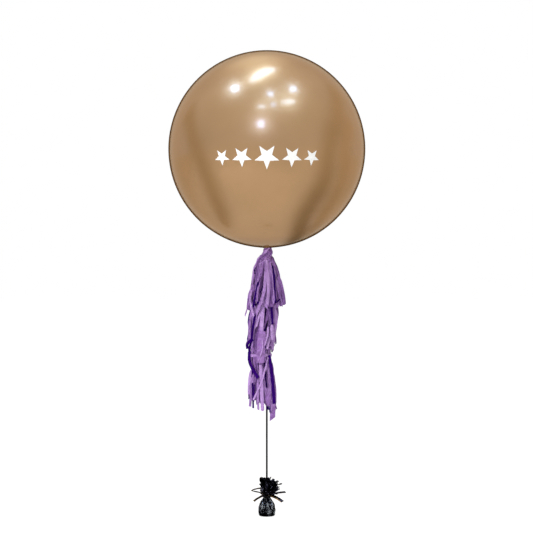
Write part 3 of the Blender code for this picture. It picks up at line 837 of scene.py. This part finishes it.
def hanging_line(tassel, bearing, depth, length, seed, flare):
    """Down from a tassel's twisted head and out over its skirt."""
    top = TASSEL_TOPS[tassel]
    whole = TASSEL_LENGTHS[tassel]
    pinch = HEAD_PINCH[tassel]
    head_turn = 2.2
    wander = math.radians(11)

    def line(share):
        below = share * length
        height = top - below * whole
        reach = along(TASSEL_OUTLINES[tassel], below) * TASSEL_RADII[tassel]
        inner = depth + (1.0 - depth) * 0.5 * (1.0 - ease(below / 0.3))
        gathered = pinch + (1.0 - pinch) * ease((below - 0.03) / 0.11)
        reach *= inner * (1.0 + 0.05 * drift(seed, below, 3.0)) * gathered
        reach += flare * max(0.0, share - 0.75) ** 2
        angle = bearing + head_turn * (1.0 - ease(below / 0.2)) + wander * drift(seed + 9.0, below, 2.4)
        way = Vector((math.cos(angle), math.sin(angle), 0.0))
        middle = skirt_middle(tassel, height) + HEAD_SHIFT[tassel] * (1.0 - ease(below / 0.15))
        return Vector((middle, 0.0, height)) + way * reach, way

    return line


def fill_tassel(tassel, patterns, layers, dice):
    """The strips of one tassel from its outside to its core, sorted by their colour. Inner layers get lower
    tones, as painted shade.
    """
    lilac, indigo = [], []
    for depth, count, dark_share, short, wide in layers:
        for i in range(count):
            bearing = 2 * math.pi * (i + dice.uniform(-0.35, 0.35)) / count
            length = 1.0 + short + dice.uniform(-0.07, 0.05) + RAGGED_LEAN[tassel] * math.cos(bearing)
            seed = dice.uniform(0.0, 50.0)
            reach = depth * dice.uniform(0.94, 1.0)
            line = hanging_line(tassel, bearing, reach, length, seed, dice.uniform(-0.05, 0.12))
            width = wide * dice.uniform(0.85, 1.15)
            tilt = math.radians(dice.uniform(-42, 42))
            twist = math.radians(dice.uniform(-35, 35))
            deep = dice.choice((-1.0, 1.0)) * dice.uniform(0.0012, 0.0034)
            # A lower depth lowers the tone, which paints shade on the inner layers.
            tone = dice.uniform(0.05, 1.0) * (0.35 + 0.65 * depth)

            def wide_at(share, width=width):
                return width * (0.62 + 0.38 * ease(share / 0.25))

            def turned(share, tilt=tilt, twist=twist, seed=seed):
                free = ease((share - 0.12) / 0.4)
                sway = math.radians(22) * drift(seed + 3.0, share, 5.0)
                return free * (tilt + twist * (share - 0.5) * 2 + sway)

            def folded(share, deep=deep):
                return deep * (0.5 + 0.5 * ease(share / 0.3))

            strip = lay_strip(dice.choice(patterns), line, wide_at, turned, folded, tone, 0.0007, seed)
            (indigo if dice.random() < dark_share else lilac).append(strip)
    return lilac, indigo


# How much longer the strips on the right hang, for each tassel
RAGGED_LEAN = (-0.04, 0.02, 0.09)

# Each tassel's layers from the outside in: depth, count, share of indigo strips, extra length and width. A
# lower depth also darkens a layer's tones, as painted shade.
TASSEL_LAYERS = (
    ((0.98, 30, 0.06, 0.00, 0.0095), (0.88, 24, 0.30, 0.02, 0.0100),
     (0.70, 16, 0.40, 0.00, 0.0100), (0.45, 9, 0.3, -0.05, 0.010)),
    ((0.98, 28, 0.06, 0.00, 0.0095), (0.88, 22, 0.30, 0.02, 0.0100),
     (0.70, 14, 0.40, 0.00, 0.0100), (0.45, 8, 0.3, -0.05, 0.010)),
    ((0.98, 27, 0.02, 0.00, 0.0095), (0.88, 21, 0.14, 0.01, 0.0095),
     (0.70, 14, 0.30, 0.00, 0.0095), (0.45, 8, 0.3, -0.02, 0.009)),
)
TASSEL_PLACES = ("upper", "middle", "lower")


def make_tassels():
    """Every strip of the skirts, in one piece for each tassel and colour."""
    dice = random.Random(8)
    ends = (SQUARE_END, SLANTED_END, ROUND_END, POINTED_END, NOTCHED_END)
    patterns = [strip_pattern(4, 22, cuts) for cuts in ends]
    for tassel, place in enumerate(TASSEL_PLACES):
        lilac, indigo = fill_tassel(tassel, patterns, TASSEL_LAYERS[tassel], dice)
        skirt = join_strips(lilac, f"tissue_{place}_lilac", TISSUE_THICKNESS)
        dress(skirt, LILAC, "tissue_lilac", f"tassel_{place}")
        under = join_strips(indigo, f"tissue_{place}_indigo", TISSUE_THICKNESS)
        dress(under, INDIGO, "tissue_indigo")
    for pattern in patterns:
        bpy.data.objects.remove(pattern)


# Strips that stand out at the front, in millimetres: name, colour, tassel, end, width, tone, roll in degrees,
# lift off the skirt, the node that it stands for, and its points as (across, height)
# A tone of about 1 or more gives a strip the highlight colour, and one near 0 the shaded colour: painted
# highlight and painted shade.
FRONT_STRIPS = (
    ("dark_strip_right", "indigo", 0, "square", 5.4, 0.35, 8, 2.5, "dark_strip_upper_right",
     ((18, 776), (20, 762), (22.7, 737), (24.5, 705), (25.0, 683), (26.5, 660))),
    ("dark_strip_left", "indigo", 0, "point", 6.0, 0.45, -12, 3.0, "dark_strip_upper_left",
     ((-26, 726), (-30, 709), (-38, 672), (-42, 645))),
    ("shade_strip_high", "indigo", 0, "point", 4.4, 0.00, 15, 2.5, "",
     ((-17, 752), (-23, 730), (-30, 708))),
    ("shade_strip_low", "indigo", 0, "point", 5.0, 0.00, 15, 2.5, "",
     ((-9, 722), (-15, 704), (-23, 690))),
    ("shade_strip_side", "indigo", 0, "round", 4.4, 0.20, -15, 2.0, "",
     ((-34, 770), (-38, 762), (-37, 750))),
    ("pale_wisp", "lilac", 0, "round", 6.0, 1.15, -12, 4.5, "",
     ((-48, 700), (-51.0, 676), (-49.5, 652), (-44, 632), (-40, 620))),
    ("thin_wisp", "lilac", 0, "point", 4.6, 0.55, 10, 4.0, "",
     ((-52, 674), (-57, 656), (-63, 636), (-68, 617))),
    ("left_ragged", "lilac", 0, "round", 8.0, 0.40, -16, 3.0, "",
     ((-40, 716), (-50, 690), (-57, 664), (-59, 640))),
    ("right_lobe", "lilac", 0, "round", 13.0, 0.40, 22, 3.0, "",
     ((35, 742), (42.5, 720), (48.5, 692), (52, 668), (53, 654))),
    ("right_lobe_fold", "lilac", 0, "round", 8.0, 0.30, -20, 4.5, "",
     ((33, 708), (38, 690), (39.5, 674), (33, 661), (28, 655))),
    ("shade_fold", "indigo", 0, "square", 5.0, 0.10, 0, 5.6, "",
     ((41, 673), (36, 668), (30, 664), (24, 662))),
    ("middle_fold", "lilac", 0, "slant", 9.5, 0.80, -10, 3.4, "",
     ((0, 792), (2, 760), (5, 715), (4, 680), (1, 655))),
    ("front_fold", "lilac", 0, "slant", 10.0, 0.66, 14, 3.8, "",
     ((-2, 775), (-5, 735), (-8, 700), (-19, 662), (-32, 628))),
    ("left_fold", "lilac", 0, "slant", 9.0, 0.50, 18, 2.6, "",
     ((-12, 786), (-20, 750), (-28, 700), (-30, 665))),
    ("dark_strip_middle_left", "indigo", 1, "square", 6.4, 0.45, -10, 4.0, "dark_strip_middle_left",
     ((-36, 626), (-40, 602), (-45, 570), (-47.5, 541))),
    ("left_edge_strip", "lilac", 1, "slant", 8.0, 0.55, -20, 3.0, "",
     ((-42, 650), (-50, 618), (-54, 580), (-53, 548))),
    ("dark_strip_middle_right", "indigo", 1, "point", 6.4, 0.50, 12, 4.0, "dark_strip_middle_right",
     ((13, 655), (15.0, 634), (16.4, 611), (18.0, 582))),
    ("flat_strip", "lilac", 1, "square", 11.5, 0.88, 12, 4.5, "",
     ((-12, 650), (-14, 620), (-16, 590), (-17, 558), (-17.5, 532))),
    ("wide_strip", "lilac", 1, "square", 25.0, 0.54, -14, 8.0, "",
     ((-13, 575), (-16, 550), (-18, 520), (-19.5, 495), (-20, 477))),
    ("wide_strip_edge", "lilac", 1, "square", 7.0, 1.00, 34, 9.0, "",
     ((-18, 558), (-15, 530), (-19, 508), (-27, 486))),
    # Its high tone paints a highlight on this rounded end.
    ("pale_end", "lilac", 1, "round", 11.5, 1.35, -14, 6.5, "",
     ((15.5, 594), (16.5, 575), (17.5, 546))),
    ("pale_slip", "lilac", 1, "round", 6.5, 1.10, 10, 5.5, "",
     ((4, 588), (2, 565), (-2.5, 547), (-8, 530))),
    ("pale_slip_high", "lilac", 1, "point", 6.0, 1.00, -12, 4.5, "",
     ((-8, 668), (-17, 640), (-26, 612), (-33, 586))),
    ("curl", "indigo", 1, "square", 9.5, 0.50, 0, 6.0, "",
     ((-42, 548), (-50, 544), (-57, 538), (-61, 529), (-60, 519))),
    ("long_dark_strip", "indigo", 2, "square", 10.5, 0.62, 6, 6.5, "dark_strip_lower_left",
     ((-48, 545), (-53.0, 524), (-55.0, 500), (-54.0, 479), (-45, 458), (-27.0, 430))),
    ("broad_dark_strip", "indigo", 2, "square", 11.5, 0.62, -4, 7.0, "dark_strip_lower_right",
     ((8, 500), (11, 480), (14.5, 452), (17.5, 425), (20.5, 390), (23, 350))),
    ("narrow_dark_strip", "indigo", 2, "point", 5.4, 0.00, 0, 5.0, "",
     ((-7, 478), (-5, 450), (-3, 425), (0, 398))),
    ("side_dark_strip", "indigo", 2, "point", 5.0, 0.25, 0, 3.0, "",
     ((-46, 452), (-45, 425), (-44, 395), (-42, 350))),
    ("thin_pale_strip", "lilac", 2, "round", 5.2, 1.40, -12, 7.0, "",
     ((4, 494), (1, 480), (-7, 450), (-17, 418), (-29, 390), (-42, 362))),
    ("slanted_strip", "lilac", 2, "corner", 17.0, 0.50, 8, 4.0, "",
     ((15, 420), (17.0, 385), (18.5, 350), (18.5, 322), (17.0, 296))),
    ("left_short_strip", "lilac", 2, "square", 12.0, 0.95, -14, 4.0, "",
     ((-48, 452), (-51, 430), (-53, 405), (-53, 380))),
    ("centre_strip", "lilac", 2, "round", 10.5, 0.86, 6, 3.5, "",
     ((-20, 470), (-18, 430), (-15.5, 380), (-14, 348), (-13, 329))),
    ("mauve_strip", "lilac", 2, "slant", 12.0, 0.50, 6, 2.6, "",
     ((6, 472), (8, 440), (8, 400), (6, 370), (4, 343))),
    ("left_end_strip", "lilac", 2, "square", 8.0, 0.55, -8, 3.0, "",
     ((-42, 440), (-47, 400), (-50, 366), (-52, 341))),
    ("dark_end_strip", "indigo", 2, "square", 5.6, 0.75, -6, 2.5, "",
     ((-38, 410), (-40, 380), (-42, 355), (-42, 337))),
    ("left_middle_end", "lilac", 2, "slant", 7.0, 0.70, 10, 3.0, "",
     ((-27, 425), (-28, 385), (-27, 355), (-26, 331))),
    ("right_sliver", "lilac", 2, "slant", 7.0, 0.50, -10, 3.0, "",
     ((16, 475), (20, 445), (24.5, 415), (27.5, 385), (28, 356))),
    ("dark_right_end", "indigo", 2, "point", 4.0, 0.60, 6, 2.0, "",
     ((8, 400), (8.5, 365), (9, 340), (9.5, 322))),
)


def front_line(tassel, points, lift):
    """A smooth line through points given as they show from the front, lying over the skirt."""
    places = [Vector((x / 1000, 0.0, z / 1000)) for x, z in points]
    lengths = [0.0]
    for a, b in zip(places, places[1:]):
        lengths.append(lengths[-1] + (b - a).length)

    def spline(share):
        wanted = share * lengths[-1]
        i = 0
        while i < len(places) - 2 and wanted > lengths[i + 1]:
            i += 1
        t = (wanted - lengths[i]) / (lengths[i + 1] - lengths[i])
        a, b = places[i], places[i + 1]
        before = places[i - 1] if i else a + (a - b)
        after = places[i + 2] if i + 2 < len(places) else b + (b - a)
        ahead = (b - before) / 2, (after - a) / 2
        return (a * (2 * t ** 3 - 3 * t ** 2 + 1) + ahead[0] * (t ** 3 - 2 * t ** 2 + t)
                + b * (3 * t ** 2 - 2 * t ** 3) + ahead[1] * (t ** 3 - t ** 2))

    def line(share):
        point = spline(share)
        middle = skirt_middle(tassel, point.z)
        reach = skirt_radius(tassel, point.z) + lift / 1000
        aside = point.x - middle
        depth = math.sqrt(max(reach * reach - aside * aside, (0.25 * reach) ** 2))
        return Vector((point.x, -depth, point.z)), Vector((0.6 * aside, -reach, 0.0)).normalized()

    return line


# How each of their ends is cut: how far back at its middle, in widths, and how steeply
FRONT_ENDS = {
    "square": (),
    "slant": ((0.20, 0.45),),
    "corner": ((0.40, -0.80),),
    "round": ((0.0, 0.15), (-0.30, 1.3), (-0.30, -1.3)),
    "point": ((0.0, 2.0), (0.0, -1.5)),
}


def make_front_strips():
    """The strips that can be told apart, each as a piece of its own."""
    finishes = {"lilac": (LILAC, "tissue_lilac"), "indigo": (INDIGO, "tissue_indigo")}
    for order, (name, colour, tassel, end, width, tone, roll, lift, node, points) in enumerate(FRONT_STRIPS):
        length = sum(math.dist(a, b) for a, b in zip(points, points[1:]))
        cuts = [(back * width / length, slope * width / length) for back, slope in FRONT_ENDS[end]]
        piece = make_single_strip(
            name, (6, 30), cuts, TISSUE_THICKNESS, 35,
            front_line(tassel, points, lift),
            lambda share, w=width: w / 1000 * (0.75 + 0.25 * ease(share / 0.2)),
            lambda share, r=roll: math.radians(r) * (0.4 + share),
            0.00012 * width, tone, 0.0008, order + 0.5)
        material, slot = finishes[colour]
        dress(piece, material, slot, *([node] if node else []))


# Each tassel's twisted head: its height, how many ropes, and how far they turn
HEADS = ((0.052, 8, 1.15), (0.040, 7, 1.0), (0.034, 7, 1.0))


def make_heads():
    """The folded tops of the strips, twisted together like ropes and looped over the ribbon."""
    pattern = strip_pattern(6, 30, SQUARE_END)
    for tassel, (height, count, turns) in enumerate(HEADS):
        top = TASSEL_TOPS[tassel] + (0.004 if tassel == 0 else 0.0)
        ropes = []
        for i in range(count):
            bearing = 2 * math.pi * i / count

            def line(share, bearing=bearing, seed=i + 10.0 * tassel):
                level = top - height * share
                reach = (HEAD_PINCH[tassel] + 0.25 * share) * skirt_radius(tassel, level) + 0.0022
                reach += 0.0006 * drift(seed, share, 6.0)
                angle = bearing + turns * math.pi * (1.0 - share) + 0.2 * drift(seed, share, 3.0)
                way = Vector((math.cos(angle), math.sin(angle), 0.0))
                middle = skirt_middle(tassel, level) + HEAD_SHIFT[tassel] * (1.0 - share)
                return Vector((middle, 0.0, level)) + way * reach, way

            ropes.append(lay_strip(
                pattern, line, lambda share: 0.0105 * (0.8 + 0.5 * share), math.radians(24),
                0.0042, 0.25 + 0.6 * (i % 3) / 2, 0.0009, i + 20.0))
        head = join_strips(ropes, f"head_{TASSEL_PLACES[tassel]}", TISSUE_THICKNESS, 50)
        dress(head, LILAC, "tissue_lilac")
    bpy.data.objects.remove(pattern)


def make_head_loop():
    """A strip's loop that sticks out at the right of the upper head."""
    places = [Vector((x / 1000, -0.008, z / 1000)) for x, z in
              ((3, 829), (8, 828), (12, 825), (15, 820), (15, 814), (12, 810), (8, 808))]

    def line(share):
        point = point_between(places, share)
        return point, (point - Vector((0.008, -0.008, 0.818))).normalized()

    # Its low tone, 0.2, darkens it as painted shade.
    loop = make_single_strip(
        "head_loop", (4, 40), SQUARE_END, DOUBLED_THICKNESS, 60, line, 0.0095, math.radians(48), 0.0008, 0.2)
    dress(loop, LILAC, "tissue_lilac")


def make_band():
    """A strip of tissue tied round the lower tassel's shoulder."""
    tassel = 2
    height = 0.4976
    rounds = 1.02

    def line(share):
        angle = 2 * math.pi * share * rounds
        level = height + 0.0012 * math.sin(3 * angle) + 0.002 * share
        reach = skirt_radius(tassel, level) + 0.0022 + 0.0006 * math.cos(5 * angle)
        way = Vector((math.cos(angle), math.sin(angle), 0.0))
        return Vector((skirt_middle(tassel, level), 0.0, level)) + way * reach, way

    band = make_single_strip(
        "tissue_band_wound", (4, 72), SQUARE_END, DOUBLED_THICKNESS, 35,
        line, 0.0088, 0.0, 0.0008, 0.75, 0.0008, 4.0)
    dress(band, LILAC, "tissue_lilac", "tissue_band")


# Foil weight

def raise_rings(rings, corners):
    """A closed form raised from its bottom, ring by extruded ring. Each ring is a radius and a height."""
    deselect_all()
    radius, height = rings[0]
    bpy.ops.mesh.primitive_circle_add(
        vertices=corners, radius=radius, fill_type="NGON", location=(0.0, 0.0, height))
    form = settle(bpy.context.object, "form")
    bpy.ops.object.mode_set(mode="EDIT")
    bpy.ops.mesh.select_all(action="SELECT")
    extrude_rings(rings[1:], radius, height)
    bpy.ops.object.mode_set(mode="OBJECT")
    return form


def crush(point, amount):
    """How far a place on the foil is pushed: flat facets that meet at ridges, over upright pleats."""
    facets_in_a_metre = 105.0
    at = Vector((point.x, point.y, point.z * 0.5)) * facets_in_a_metre
    near, far = noise.voronoi(at)[0][:2]
    fine = noise.voronoi(at * 2.1 + Vector((5, 1, 2)))[0][0]
    return amount * (1.1 * (far - near) - 0.5 + 0.25 * fine)


def make_sack():
    """The wrapped body: a bulging sack of crushed film, gathered to its tied neck."""
    outline = ((0.00, 0.0226), (0.02, 0.0236), (0.05, 0.0247), (0.13, 0.0259), (0.28, SACK_RADIUS),
               (0.45, SACK_RADIUS * 0.99), (0.60, SACK_RADIUS * 0.92), (0.74, SACK_RADIUS * 0.80),
               (0.86, SACK_RADIUS * 0.64), (0.95, GATHER_RADIUS * 1.12), (1.00, GATHER_RADIUS))
    rings = [(0.0205, 0.0), (0.0225, 0.0003)]
    steps = 46
    corners = 120
    pleat_pace = 8.5
    for i in range(1, steps + 1):
        share = i / steps
        rings.append((along(outline, share), SACK_HEIGHT * share))
    rings += [(GATHER_RADIUS * 0.98, SACK_HEIGHT + 0.0015), (GATHER_RADIUS * 0.98, SACK_HEIGHT + 0.0035)]
    sack = raise_rings(rings, corners)
    for vertex in sack.data.vertices:
        co = vertex.co
        angle, reach = math.atan2(co.y, co.x), math.hypot(co.x, co.y)
        if reach < 0.001:
            continue
        share = co.z / SACK_HEIGHT
        up = ease(share * 6)
        pleats = abs(math.sin(pleat_pace * angle + 2.2 * noise.noise(co * 30.0)))
        fine = noise.noise(co * 45.0 + Vector((3.0, 3.0, 3.0)))
        pleats += 0.5 * abs(math.sin(2 * pleat_pace * angle + 3.0 * fine))
        push = up * (crush(co, 0.0030) - 0.0014 * pleats + 0.0010)
        push -= 0.0012 * pleats * ease((share - 0.6) / 0.3)
        co.x += push * math.cos(angle)
        co.y += push * math.sin(angle)
    sack.name = sack.data.name = "foil_sack"
    face_outwards(sack)
    smooth(sack, 18)
    dress(sack, SACK_FOIL, "foil_black", "foil_weight")


# Foil frill: bearing in degrees, reach, height of the tip above its base, width, and width of the tip
PETALS = (
    (-115, 0.024, 0.056, 0.024, 0.022), (-66, 0.020, 0.057, 0.014, 0.004), (-46, 0.034, 0.051, 0.015, 0.003),
    (-30, 0.043, 0.046, 0.015, 0.003), (-58, 0.030, 0.050, 0.016, 0.006), (-40, 0.033, 0.047, 0.016, 0.005),
    (-76, 0.022, 0.053, 0.015, 0.006), (42, 0.031, 0.048, 0.016, 0.006), (22, 0.038, 0.043, 0.016, 0.005),
    (-12, 0.049, 0.038, 0.014, 0.002), (-22, 0.044, 0.028, 0.013, 0.003), (4, 0.042, 0.019, 0.012, 0.003),
    (34, 0.044, 0.042, 0.015, 0.003), (68, 0.034, 0.052, 0.016, 0.004), (98, 0.034, 0.038, 0.015, 0.004),
    (128, 0.030, 0.052, 0.017, 0.005), (160, 0.025, 0.048, 0.016, 0.006), (-165, 0.024, 0.036, 0.013, 0.004),
    (-90, 0.032, 0.024, 0.013, 0.003), (-74, 0.034, 0.038, 0.014, 0.003), (80, 0.036, 0.020, 0.013, 0.003),
    (-140, 0.019, 0.055, 0.020, 0.018), (-100, 0.012, 0.056, 0.020, 0.018), (172, 0.022, 0.054, 0.019, 0.014),
    (150, 0.016, 0.055, 0.018, 0.012), (-152, 0.026, 0.048, 0.016, 0.010),
)

# The smaller petals that fill the frill, and the turn in degrees from one to the next
FILLING_PETALS = 120
GOLDEN_TURN = 137.5

# Loose strips that stand out of the neck: bearing, reach, height of the tip above the base, and width
STREAMERS = (
    (4, 0.060, 0.010, 0.0046),
    (-154, 0.046, -0.015, 0.0075),
    (-16, 0.052, -0.018, 0.0078),
    (118, 0.046, -0.012, 0.0050),
    (62, 0.050, 0.006, 0.0044),
)


def blade_line(bearing, reach, rise, base, spread=1.3):
    """From the neck out to a tip, bowing up for a petal that rises and drooping for one that falls."""
    angle = math.radians(bearing)
    outward = Vector((math.cos(angle), math.sin(angle), 0.0))
    root = 0.3 * GATHER_RADIUS

    def line(share):
        forward = root + (reach - root) * share ** (spread if rise > 0 else 1.0)
        upward = rise * (1.5 * share - 0.5 * share * share if rise > 0 else share * share)
        return outward * forward + Vector((0.0, 0.0, base + upward)), outward

    return line


def loop_line(base):
    """A narrow strip that runs out to the left and doubles back."""
    places = [Vector(place) for place in (
        (-0.006, -0.006, base + 0.021), (-0.024, -0.012, base + 0.024), (-0.040, -0.014, base + 0.021),
        (-0.048, -0.015, base + 0.0165), (-0.040, -0.016, base + 0.0145), (-0.024, -0.014, base + 0.0115),
        (-0.006, -0.006, base + 0.006))]

    def line(share):
        point = point_between(places, share, 0.3)
        return point, (point - Vector((-0.024, -0.013, base + 0.0175))).normalized()

    return line


def make_frill():
    """Crushed petals of film round the ribbon, and loose strips with bronze backs."""
    dice = random.Random(5)
    black, bronze = [], []
    pattern = strip_pattern(6, 16, ((0.02, 0.05),))
    base = FRILL_BASE - 0.003
    petals = list(PETALS)
    for i in range(FILLING_PETALS):
        bearing = i * GOLDEN_TURN
        right = max(0.0, math.cos(math.radians(bearing)))
        reach = dice.uniform(0.010, 0.023) + 0.022 * right * dice.random()
        rise = dice.uniform(0.10, 1.0) * (0.060 - 0.42 * reach)
        petals.append((bearing, reach, rise, dice.uniform(0.010, 0.016), dice.uniform(0.003, 0.010)))
    for order, (bearing, reach, rise, width, tip) in enumerate(petals):
        roll = math.radians(dice.uniform(-50, 50))
        black.append(lay_strip(
            pattern, blade_line(bearing, reach, rise, base, 1.3 if order < len(PETALS) else 0.6),
            lambda s, w=width, t=tip: (w + (t - w) * s * s) * min(1.0, 0.35 + 1.8 * s),
            lambda s, r=roll: r * s,
            lambda s, w=width: 0.10 * w + 0.12 * w * s,
            0.5, 0.0016, dice.uniform(0, 40)))
    for bearing, reach, rise, width in STREAMERS:
        seed = dice.uniform(0, 40)
        for drop, share, kept in ((0.0, 1.0, black), (0.0012, 1.22, bronze)):
            kept.append(lay_strip(
                pattern, blade_line(bearing, reach * (1.0 - drop * 8), rise - drop, base),
                width * share, math.radians(60), 0.0010, 0.5, 0.0004, seed))
    for drop, width, kept in ((0.0, 0.0050, black), (0.0009, 0.0056, bronze)):
        kept.append(lay_strip(
            pattern, loop_line(base - drop), width, math.radians(35), 0.0006, 0.5, 0.0002, 3.0))
    frill = join_strips(black, "foil_frill", FOIL_THICKNESS, 25)
    dress(frill, FRILL_FOIL, "foil_black")
    linings = join_strips(bronze, "foil_linings", FOIL_THICKNESS, 25)
    dress(linings, BRONZE_FOIL, "foil_black")
    bpy.data.objects.remove(pattern)


def make_neck_tie():
    """The ribbon's turns round the gathered neck."""
    deselect_all()
    bpy.ops.mesh.primitive_torus_add(
        major_segments=64, minor_segments=10, major_radius=0.01235, minor_radius=0.0010,
        location=(0.0, 0.0, 0.0))
    first = bpy.context.object
    turns = [first, copy_piece(first), copy_piece(first)]
    for turn, level, lean in zip(turns, (0.0592, 0.0605, 0.0617), (3.0, -2.0, 4.0)):
        turn.location = (0.0, 0.0, level)
        turn.rotation_euler = (math.radians(lean), math.radians(lean * 0.6), 0.0)
    tie = join_pieces(turns, "ribbon_turns")
    smooth(tie, 60)
    dress(tie, RIBBON_SATIN, "ribbon_black", "neck_tie")


place_camera()
make_ribbon()
light_the_studio()
lay_floor()
set_up_cards()
make_balloon()
dress_stars()
make_tassels()
make_front_strips()
make_heads()
make_head_loop()
make_band()
make_sack()
make_frill()
make_neck_tie()
